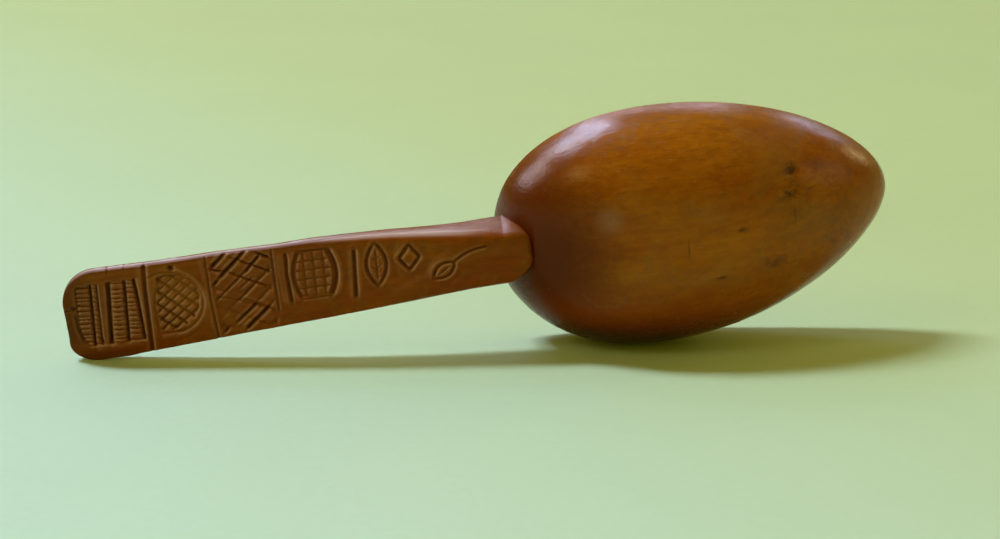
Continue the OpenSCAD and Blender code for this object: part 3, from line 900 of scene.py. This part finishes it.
def carve_barrel(face):
    """An upright barrel with bowed staves, squared off inside."""
    x, y = face.x, face.y
    face.cut([(48.1, 9.5), (47.7, 4.4), (47.7, -3.0)], 0.6, 0.5)
    centre, half_high, half_wide = (53.4, 3.5), 5.7, 3.0
    bulge = 1.5
    lean = 0.05
    side = half_wide + bulge * (1 - ((y - centre[1]) / half_high) ** 2)
    across = np.abs(x - centre[0] - lean * (y - centre[1]))
    inside = smooth((side - across) / 0.8) * smooth((half_high - np.abs(y - centre[1])) / 0.8)
    face.sink(inside, 0.42)
    grid_rows, grid_columns = 2.15, 2.1
    u = (x - centre[0] - lean * (y - centre[1])) / grid_columns
    v = (y - centre[1]) / grid_rows + 0.5
    face.pillows(inside * smooth((side - 0.5 - across) / 0.6), u, v, 0.36, 2.6)
    top = (centre[0] + lean * half_high, centre[1] + half_high)
    bottom = (centre[0] - lean * half_high, centre[1] - half_high)
    right = bow((bottom[0] + half_wide, bottom[1]), (top[0] + half_wide, top[1]), -bulge)
    left = bow((bottom[0] - half_wide, bottom[1]), (top[0] - half_wide, top[1]), bulge)
    face.cut(right, 0.72, 0.62, burr=0.3)
    face.cut(left, 0.60, 0.50, burr=0.3)
    face.cut([(top[0] - half_wide, top[1]), (top[0] + half_wide, top[1] - 0.2)], 0.45, 0.36)
    face.cut([(bottom[0] - half_wide, bottom[1]), (bottom[0] + half_wide, bottom[1])], 0.36, 0.24, dark=0.6)
    outer = bow((bottom[0] + half_wide + 1.2, bottom[1]), (top[0] + half_wide + 1.2, top[1]), -bulge)
    face.ridge(outer, 0.6, 0.24)


def leaf_paths(centre, turn_degrees, reach, wide):
    """The two edges of a pointed leaf."""
    t = radians(turn_degrees)
    tip_a = (centre[0] - reach * cos(t), centre[1] - reach * sin(t))
    tip_b = (centre[0] + reach * cos(t), centre[1] + reach * sin(t))
    return bow(tip_a, tip_b, wide), bow(tip_a, tip_b, -wide)


def carve_motifs(face):
    """A bar, an upright leaf, a lozenge and a leaf on a long stem, each in a scooped ground."""
    face.cut([(62.3, 8.3), (61.2, -3.7)], 0.66, 0.62, burr=0.2)
    face.ridge([(63.4, 7.8), (62.4, -2.8)], 0.5, 0.14)
    scoops = [
        ([(66.6, -2.6), (66.6, 9.8)], 3.0, 0.10),
        ([(68.6, -2.2), (73.5, -0.4), (78.0, 3.2), (80.5, 5.2)], 1.3, 0.22),
        ([(70.3, 0.5), (69.6, 4.5), (70.6, 8.0)], 0.9, 0.20),
        ([(76.6, 7.0), (77.3, 3.0), (76.0, 0.2)], 0.9, 0.16),
        ([(87.0, 3.4), (91.0, 3.6)], 1.1, 0.16),
        ([(83.6, -1.0), (81.0, -3.2), (77.6, -2.2)], 0.8, 0.12),
    ]
    for path, wide, deep in scoops:
        away, _, _ = along_path(face.x, face.y, path)
        face.sink(np.exp(-((away / wide) ** 2)), deep)
    for path in leaf_paths((66.5, 3.7), 87, 5.2, 2.1):
        face.cut(path, 0.58, 0.50, burr=0.2)
    face.cut([(66.3, -0.4), (66.7, 7.9)], 0.38, 0.28, dark=0.7)
    for rib in (0.4, 2.6, 4.8):
        face.cut([(66.4, rib), (67.7, rib + 1.1)], 0.24, 0.14, dark=0.6, run_out=0.4)
        face.cut([(66.4, rib), (65.1, rib + 1.1)], 0.24, 0.14, dark=0.6, run_out=0.4)
    corners = [(73.7, 7.4), (75.7, 4.4), (73.3, 1.4), (71.3, 4.4), (73.7, 7.4)]
    for start, end in zip(corners[:-1], corners[1:]):
        face.cut([start, end], 0.60, 0.56, burr=0.2, run_out=0.3)
    inner = np.abs(face.x - 73.5) / 1.5 + np.abs(face.y - 4.4) / 2.3
    face.height += 0.14 * smooth(1.2 - inner)
    for path in leaf_paths((80.4, 0.2), 35, 2.9, 1.5):
        face.cut(path, 0.56, 0.50, burr=0.2)
    face.cut([(78.6, -1.1), (82.2, 1.5)], 0.34, 0.24, dark=0.6)
    face.cut(bow((82.6, 1.8), (90.2, 4.4), 0.75), 0.52, 0.46, burr=0.2)


def nicks(x):
    """How deep the knife nicked the upper arris at x."""
    places = [(11.0, 0.30, 0.55), (14.6, 0.35, 0.35), (18.8, 0.5, 0.35)]
    return sum(deep * np.clip(1 - np.abs(x - at) / wide, 0, 1) for at, wide, deep in places)


face_x, face_y = spread_across(face_columns, 0.35)
edge = from_edge(face_x, face_y)
face = Carving(face_x, face_y)
carve_ladders(face)
carve_arch(face)
carve_lattice(face)
carve_barrel(face)
carve_motifs(face)

# nothing is cut on the tongue, and the arrises are rounded, more so towards the neck
flat_points = np.stack([face_x, face_y, np.zeros_like(face_x)], axis=-1)
uneven = 0.10 * unevenness(flat_points, 7, 2.2) + 0.04 * unevenness(flat_points, 2.2, 9.4)
is_upper = face_y > (upper_side(face_x) - lower_side(face_x)) / 2
neck_share = smooth((face_x - 45) / 45)
face_easing = np.where(is_upper, 0.40 + 1.9 * neck_share, 0.60 + 1.2 * neck_share)
face_easing = face_easing - 0.9 * neck_share * smooth((face_x - 84) / 15)


def rounding(distance, easing):
    return easing - np.sqrt(np.maximum(0, easing**2 - np.maximum(0, easing - distance) ** 2))


soften = smooth(edge / 0.5) * 0.75 + 0.25
face_z = -rounding(edge, face_easing) + face.height * soften + uneven - 0.05
face_z = np.minimum(face_z, 0.02)
face_z = face_z - np.where(is_upper, nicks(face_x) * smooth(1 - edge / 1.6), 0)

back_x, back_y = spread_across(back_columns, 0.85)
back_edge = from_edge(back_x, back_y)
thickness = end_thickness + (neck_thickness - end_thickness) * np.clip(back_x / neck_at, 0, 1) ** neck_flare
back_points = np.stack([back_x, back_y, 0 * back_x], axis=-1)
facets = 0.16 * np.abs(np.sin(pi * back_y / 5.3)) + 0.12 * unevenness(back_points, 6, 4.4)
back_easing = np.minimum(1.25, 0.35 * thickness)
back_z = -thickness + rounding(back_edge, back_easing) + np.maximum(0, facets)


def wall_between(top_edge, bottom_edge, bulge_sign):
    """Rows down one side of the handle between the face's edge and the back's, hand-flattened."""
    rows = []
    for row in range(1, wall_rows + 1):
        share = row / (wall_rows + 1)
        points = top_edge * (1 - share) + bottom_edge * share
        depth_below = top_edge[:, 2] - points[:, 2]
        swell = 0.10 * sin(pi * share) + 0.07 * unevenness(points, 6, 12.3)
        notch = nicks(points[:, 0]) * np.clip(1 - depth_below / 2.2, 0, 1) if bulge_sign > 0 else 0
        points[:, 1] += bulge_sign * (swell * np.minimum(1, points[:, 0] / 4) - 0.8 * notch - 0.08)
        rows.append(points)
    return np.stack(rows, axis=1)


face_grid = np.stack([face_x, face_y, face_z], axis=-1)
back_grid = np.stack([back_x, back_y, back_z], axis=-1)[:, ::-1]
lower_wall = wall_between(face_grid[:, -1], back_grid[:, 0], -1)
upper_wall = wall_between(face_grid[:, 0], back_grid[:, -1], 1)[:, ::-1]
handle_grid = np.concatenate([face_grid, lower_wall, back_grid, upper_wall], axis=1)
section_points = handle_grid.shape[1]

# from the face's own frame to the spoon's
c, s = cos(handle_lean), sin(handle_lean)
leaned = np.array([[c, -s, 0], [s, c, 0], [0, 0, 1]])
c, s = cos(face_rise), sin(face_rise)
raised = np.array([[c, 0, s], [0, 1, 0], [-s, 0, c]])
handle_points = handle_grid @ (raised @ leaned).T + handle_start

# inside the bowl's back the handle keeps just under its surface
bite = 0.9
along = handle_points[..., 0] - centre_at
reach = np.where(along < 0, to_heel, to_tip)
plan = np.abs(along / reach) ** heel_fullness + np.abs(handle_points[..., 1] / half_bowl) ** heel_fullness
plan = plan ** (1 / heel_fullness)
dome_height = bowl_depth * np.maximum(0, 1 - np.minimum(plan, 1) ** heel_belly) ** (1 / heel_belly)
floor_height = np.where(plan < 1, dome_height - bite, -99)
handle_points[..., 2] = np.maximum(handle_points[..., 2], floor_height)

handle_list = handle_points.reshape(-1, 3)
handle_faces = []
for j in range(len(stations) - 1):
    for i in range(section_points):
        k = (i + 1) % section_points
        a, b = j * section_points, (j + 1) * section_points
        handle_faces.append((a + i, a + k, b + k, b + i))


def cap(first):
    """Closes the section that starts at first, between its face and its back."""
    half = section_points // 2
    faces = []
    for i in range(half - 1):
        top, bottom = first + i, first + section_points - 1 - i
        faces.append((top, top + 1, bottom - 1, bottom))
    return faces


handle_faces += [tuple(reversed(f)) for f in cap(0)]
handle_faces += cap((len(stations) - 1) * section_points)
outer_index = (len(stations) // 3) * section_points + face_columns // 2
handle = solid("handle_carved", handle_list, handle_faces, outer_index)


def blurred(values, reach):
    """The values with each spread over its neighbours, along both directions of the grid."""
    weights = np.exp(-np.linspace(-2, 2, 2 * reach + 1) ** 2)
    weights = weights / weights.sum()

    def spread(line):
        return np.convolve(np.pad(line, reach, "edge"), weights, "valid")

    for axis in (0, 1):
        values = np.apply_along_axis(spread, axis, values)
    return values


def keep_on_handle(name, on_face, on_upper_wall=0.0):
    """Stores a value for each point of the handle, for its material to read."""
    values = np.zeros(handle_grid.shape[:2])
    values[:, :face_columns] = on_face
    values[:, -wall_rows:] = on_upper_wall
    layer = handle.data.attributes.new(name, "FLOAT", "POINT")
    layer.data.foreach_set("value", values.ravel().astype(np.float32))


# what stands proud of its surroundings is rubbed bright, and slopes that face up and to the left are
# painted lighter as a highlight; what lies lower keeps old dirt and is painted darker as shade
proud = face.height - blurred(face.height, 9)
worn_height = blurred(face.height, 2)
slope_along = np.gradient(worn_height, axis=0) / station_step
slope_across = np.gradient(worn_height, axis=1) / column_step
steepness = (slope_along + slope_across) * 0.7
# painted highlight on the slopes that face up and to the left
painted_highlight_slopes = np.clip(steepness / 0.45, 0, 1) * smooth((proud + 0.10) / 0.15)
# dirt in the cuts, and painted shade wherever the face lies below its surroundings
keep_on_handle("dirt_and_shade_in_cuts", np.maximum(0.7 * face.dirt_and_shade, np.clip(-proud / 0.30, 0, 1) * 0.9))
keep_on_handle("worn_ridges_and_painted_highlight", np.maximum(painted_highlight_slopes**1.4, 0.30 * np.clip(proud / 0.20, 0, 1)))
pale_edge_span = (smooth((stations - 1.5) / 4) * smooth((93 - stations) / 14))[:, None]
toward_neck = smooth((stations - 50) / 18)[:, None]
toward_face = np.linspace(0, 1, wall_rows)
thin_line = np.minimum(1, 1.5 * (1 - toward_face) ** 1.6)
# a pale line along the upper arris and the upper wall: partly wear, partly a painted sheen
keep_on_handle(
    "worn_and_sheen_edges",
    pale_edge_span * toward_neck * np.where(is_upper, np.exp(-((edge / 0.33) ** 2)), 0),
    pale_edge_span * (toward_neck * toward_face**1.5 + (1 - toward_neck) * thin_line),
)
# the upper edge and wall towards the outer end are duller and painted darker as shade
keep_on_handle(
    "dull_edges_and_painted_shade",
    (1 - toward_neck) * np.where(is_upper, np.exp(-((edge / 0.45) ** 2)), 0),
    (1 - toward_neck) * smooth((toward_face - 0.35) / 0.40),
)

handle_light = (0.245, 0.062, 0.001, 1)
handle_red = (0.21, 0.036, 0.001, 1)
handle_dark_and_shade = (0.090, 0.024, 0.002, 1)
handle_redder = (0.19, 0.036, 0.001, 1)
handle_olive = (0.165, 0.066, 0.002, 1)
arch_worn = (0.34, 0.150, 0.022, 1)
worn_wood_and_highlight = (0.48, 0.25, 0.14, 1)
polished_edge_and_sheen = (0.60, 0.47, 0.42, 1)

handle_material, tree, shader = new_material("handled_fruitwood")
place = use_group(tree, spoon_place).outputs[0]
grain = use_group(tree, wood_grain, Place=place, Streak_width=1.6, Fibre_width=0.35)
age = use_group(tree, old_surface, Place=place, Patch_size=8.0)
in_cuts_dirt_and_shade, at_edges_and_sheen, on_ridges_and_highlight, on_dull_and_shade = (
    add(tree, "Attribute", attribute_name=name).outputs["Fac"]
    for name in ("dirt_and_shade_in_cuts", "worn_and_sheen_edges", "worn_ridges_and_painted_highlight", "dull_edges_and_painted_shade")
)
mottled = old_wood(tree, grain, age, handle_red, handle_light, handle_dark_and_shade, handle_olive, 0.30)

# the outer end is darkest, partly from handling and partly painted shade on its end wall and upper corner,
# with a red band beyond the arch
handle_stains_and_shade = [
    ((4, 0, 7), (19, 16, 14), 0.6, 0.55, handle_dark_and_shade),
    # painted shade on the outer end wall
    ((-1.5, 0, 5), (7.5, 16, 12), 0.3, 1.0, handle_dark_and_shade),
    ((3, -11, 6), (22, 4, 9), 0.5, 0.7, handle_dark_and_shade),
    ((40, 2, 11), (15, 13, 9), 0.9, 0.28, handle_dark_and_shade),
    # painted shade on the upper corner of the outer end
    ((1.5, 9.5, 6), (6, 5, 6), 0.4, 0.85, handle_dark_and_shade),
    ((30, 3, 9), (3.2, 12, 9), 0.8, 0.55, handle_redder),
    ((12, -8, 8), (16, 3.5, 9), 0.6, 0.45, handle_redder),
    ((25, 1.5, 9), (9, 8, 7), 0.8, 0.40, arch_worn),
    ((13, 1.5, 8), (4, 8, 7), 0.9, 0.30, handle_dark_and_shade),
]
tongue_top = mark_at(tree, place, (95.5, 7.0, 13.5), (5, 4, 5), 0.2, 0.30)
stained_and_shaded = mottled
for centre, reach, ragged, strength, colour in handle_stains_and_shade:
    mark = mark_at(tree, place, centre, reach, ragged, strength)
    stained_and_shaded = colour_mix(tree, mark, stained_and_shaded, colour)
# painted shade on the upper edge and wall towards the outer end
edge_with_painted_shade = colour_mix(tree, weighted(tree, on_dull_and_shade, 0.6), stained_and_shaded, handle_dark_and_shade)
# the pale edge line is partly wear and partly a painted sheen
polished_and_sheen = colour_mix(tree, weighted(tree, at_edges_and_sheen, 0.65), edge_with_painted_shade, polished_edge_and_sheen)
# ridges lighter from wear, and up-left slopes painted lighter as a highlight
rubbed_and_highlighted = colour_mix(tree, weighted(tree, on_ridges_and_highlight, 0.62), polished_and_sheen, worn_wood_and_highlight)
# dirt and painted shade darken the cuts and hollows
dirtied_and_shaded = colour_mix(tree, weighted(tree, in_cuts_dirt_and_shade, 0.85), rubbed_and_highlighted, grime_and_shade)
tree.links.new(dirtied_and_shaded, shader.inputs["Base Color"])
gloss = total(
    tree,
    [
        rescale(tree, age.outputs["Patches"], 0, 1, 0.20, 0.28),
        weighted(tree, age.outputs["Mottle"], 0.06),
        weighted(tree, in_cuts_dirt_and_shade, 0.3),
        weighted(tree, on_ridges_and_highlight, -0.08),
        weighted(tree, at_edges_and_sheen, -0.08),
        weighted(tree, on_dull_and_shade, 0.35),
        tongue_top,
    ],
)
tree.links.new(gloss, shader.inputs["Roughness"])
shader.inputs["Specular IOR Level"].default_value = 0.20
shader.inputs["Specular Tint"].default_value = (1.0, 0.72, 0.22, 1)
height = total(
    tree,
    [
        weighted(tree, grain.outputs["Fibres"], 0.6),
        weighted(tree, age.outputs["Mottle"], -0.4),
        weighted(tree, age.outputs["Scratches"], -0.5),
    ],
)
surface(tree, shader, height, 0.00007)
handle.data.materials.append(handle_material)
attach(handle, "root")
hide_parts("handle")


# The picture's colours, shown with the standard view transform

bpy.context.scene.view_settings.view_transform = "Standard"
